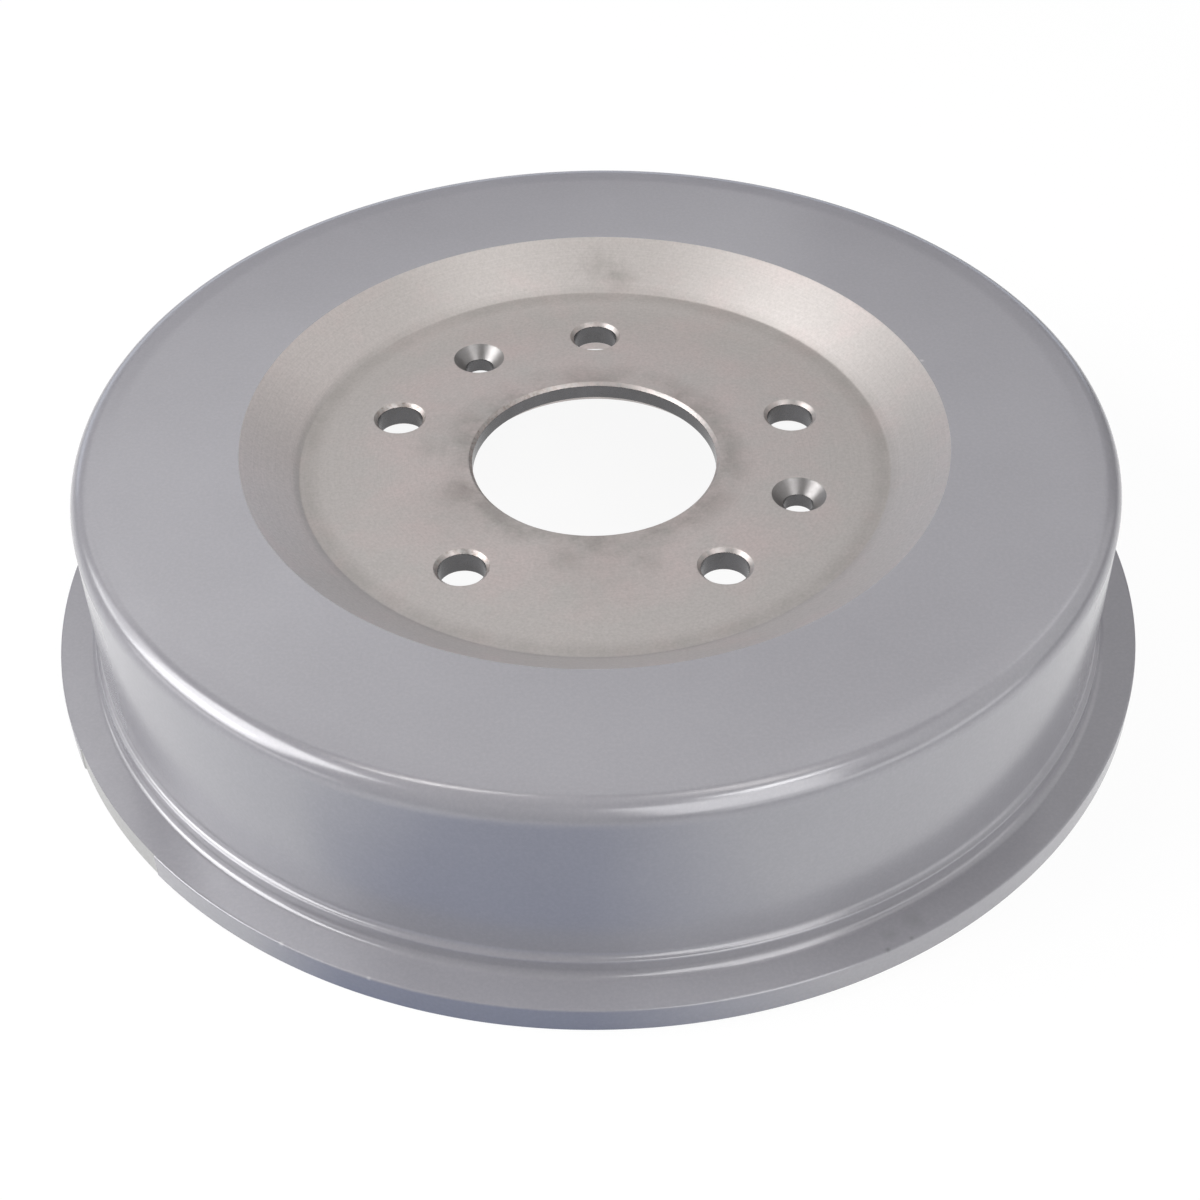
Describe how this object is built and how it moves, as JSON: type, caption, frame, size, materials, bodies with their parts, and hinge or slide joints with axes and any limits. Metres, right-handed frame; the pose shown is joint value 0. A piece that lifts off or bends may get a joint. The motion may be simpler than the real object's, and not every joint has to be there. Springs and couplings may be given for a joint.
{
  "type": "brake drum",
  "caption": "Cast brake drum with a dished hub face, a centre bore, holes for wheel studs and retaining screws, and a flanged mouth.",
  "frame": {"origin": "centre of the mouth's end face, on the drum's axis", "axes": "+Z along the drum's axis towards the wheel side; one stud hole lies on +Y"},
  "size_m": [0.3026, 0.3026, 0.0622],
  "materials": {
    "drum_iron": "satin grey paint outside, bare turned iron on the hub face, dish, bore, track and mouth"
  },
  "bodies": {
    "root": {"brake_drum": "drum_iron"}
  },
  "joints": []
}
